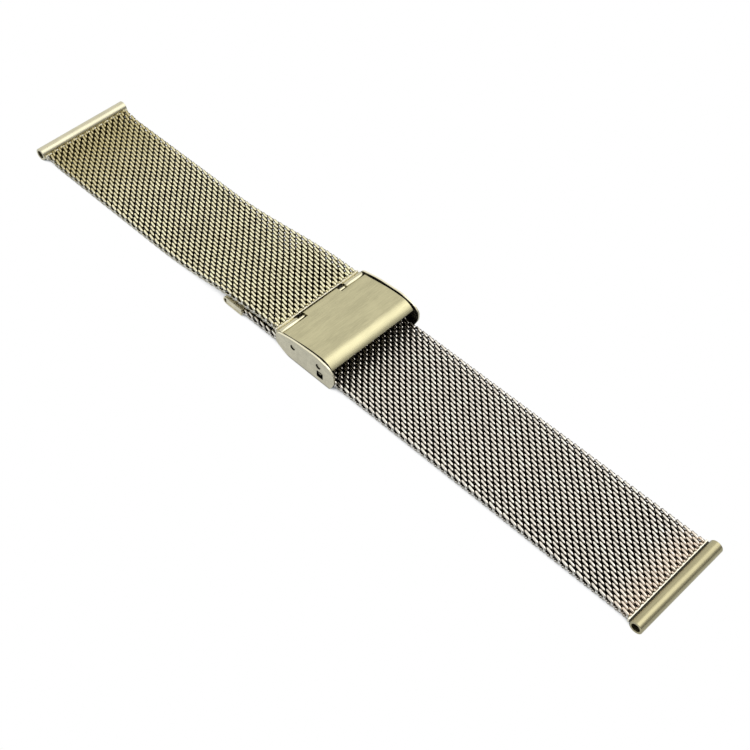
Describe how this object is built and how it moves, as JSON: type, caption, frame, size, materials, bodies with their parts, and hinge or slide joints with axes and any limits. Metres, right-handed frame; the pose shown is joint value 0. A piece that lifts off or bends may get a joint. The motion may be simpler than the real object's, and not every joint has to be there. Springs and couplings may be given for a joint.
{
  "type": "milanese mesh band",
  "caption": "Fine woven-mesh band in two halves with a fold-over hook clasp, sliding length lock and rolled end tubes for spring bars.",
  "frame": {"origin": "middle of the footprint on the surface that the band lies on, midway between the end tubes", "axes": "+X along the band from the short half to the long half, +Z from the skin side to the outside, Y across the band"},
  "size_m": [0.1586, 0.0226, 0.0064],
  "materials": {
    "clasp_steel": "champagne-gold plated steel, brushed",
    "cover_steel": "champagne-gold plated steel, brushed",
    "inner_steel": "champagne-gold plated steel, brushed",
    "pin_steel": "champagne-gold plated steel, brushed",
    "strip_steel": "champagne-gold plated steel, brushed",
    "tube_steel": "champagne-gold plated steel, brushed",
    "short_mesh_wire": "champagne-gold plated steel wire",
    "long_mesh_wire": "champagne-gold plated steel wire"
  },
  "bodies": {
    "clasp": {"clasp_body": "clasp_steel", "hook_bar": "pin_steel", "snap_bar": "pin_steel"},
    "lock": {"lock_plate": "inner_steel"},
    "hook": {"hook_plate": "inner_steel", "hinge_pin": "pin_steel", "short_hinge_strip": "strip_steel", "short_mesh_stub": "short_mesh_wire"},
    "cover": {"cover_plate": "cover_steel", "snap_clip_near": "inner_steel", "snap_clip_far": "inner_steel"},
    "band": {"clasp_mesh": "long_mesh_wire"},
    "tail": {"tail_mesh": "long_mesh_wire", "tail_cap": "strip_steel"},
    "short_1": {"short_mesh_1": "short_mesh_wire"},
    "long_1": {"long_mesh_1": "long_mesh_wire"},
    "short_2": {"short_mesh_2": "short_mesh_wire"},
    "long_2": {"long_mesh_2": "long_mesh_wire"},
    "short_3": {"short_mesh_3": "short_mesh_wire"},
    "long_3": {"long_mesh_3": "long_mesh_wire"},
    "short_4": {"short_mesh_4": "short_mesh_wire"},
    "long_4": {"long_mesh_4": "long_mesh_wire"},
    "short_5": {"short_mesh_5": "short_mesh_wire"},
    "long_5": {"long_mesh_5": "long_mesh_wire"},
    "short_6": {"short_mesh_6": "short_mesh_wire", "short_tube_strip": "strip_steel", "short_end_tube": "tube_steel"},
    "long_6": {"long_mesh_6": "long_mesh_wire", "long_tube_strip": "strip_steel", "long_end_tube": "tube_steel"}
  },
  "joints": [
    {"name": "lock_tilt", "type": "hinge", "parent": "clasp", "child": "lock", "pos_m": [0.00558, 0, 0.00225], "axis": [0, 1, 0], "range_deg": [0, 25]},
    {"name": "hook_swing", "type": "hinge", "parent": "clasp", "child": "hook", "pos_m": [-0.00153, 0, 0.00395], "axis": [0, 1, 0], "range_deg": [0, 33]},
    {"name": "cover_hinge", "type": "hinge", "parent": "hook", "child": "cover", "pos_m": [-0.00553, 0, 0.00405], "axis": [0, -1, 0], "range_deg": [0, 95]},
    {"name": "band_slide", "type": "slide", "parent": "clasp", "child": "band", "axis": [-1, 0, 0], "range_m": [-0.01, 0]},
    {"name": "tail_flex", "type": "hinge", "parent": "band", "child": "tail", "pos_m": [-0.00835, 0, 0.0012], "axis": [0, -1, 0], "range_deg": [0, 25]},
    {"name": "short_flex_1", "type": "hinge", "parent": "hook", "child": "short_1", "pos_m": [-0.0085, 0, 0.00405], "axis": [0, -1, 0], "range_deg": [-20, 0]},
    {"name": "short_flex_2", "type": "hinge", "parent": "short_1", "child": "short_2", "pos_m": [-0.02018, 0, 0.00309], "axis": [0, -1, 0], "range_deg": [-20, 0]},
    {"name": "short_flex_3", "type": "hinge", "parent": "short_2", "child": "short_3", "pos_m": [-0.03187, 0, 0.00136], "axis": [0, -1, 0], "range_deg": [-20, 30]},
    {"name": "short_flex_4", "type": "hinge", "parent": "short_3", "child": "short_4", "pos_m": [-0.04356, 0, 0.00075], "axis": [0, -1, 0], "range_deg": [-20, 30]},
    {"name": "short_flex_5", "type": "hinge", "parent": "short_4", "child": "short_5", "pos_m": [-0.05442, 0, 0.00075], "axis": [0, -1, 0], "range_deg": [-20, 30]},
    {"name": "short_flex_6", "type": "hinge", "parent": "short_5", "child": "short_6", "pos_m": [-0.06527, 0, 0.00075], "axis": [0, -1, 0], "range_deg": [-20, 30]},
    {"name": "long_flex_1", "type": "hinge", "parent": "band", "child": "long_1", "pos_m": [0.01316, 0, 0.0012], "axis": [0, 1, 0], "range_deg": [-20, 30]},
    {"name": "long_flex_2", "type": "hinge", "parent": "long_1", "child": "long_2", "pos_m": [0.02432, 0, 0.0012], "axis": [0, 1, 0], "range_deg": [-20, 30]},
    {"name": "long_flex_3", "type": "hinge", "parent": "long_2", "child": "long_3", "pos_m": [0.03468, 0, 0.0012], "axis": [0, 1, 0], "range_deg": [-20, 30]},
    {"name": "long_flex_4", "type": "hinge", "parent": "long_3", "child": "long_4", "pos_m": [0.04504, 0, 0.0012], "axis": [0, 1, 0], "range_deg": [-20, 30]},
    {"name": "long_flex_5", "type": "hinge", "parent": "long_4", "child": "long_5", "pos_m": [0.0554, 0, 0.0012], "axis": [0, 1, 0], "range_deg": [-20, 30]},
    {"name": "long_flex_6", "type": "hinge", "parent": "long_5", "child": "long_6", "pos_m": [0.06576, 0, 0.0012], "axis": [0, 1, 0], "range_deg": [-20, 30]}
  ],
  "couplings": [
    {"joint": "cover_hinge", "follows": "hook_swing", "ratio": 2.85}
  ]
}
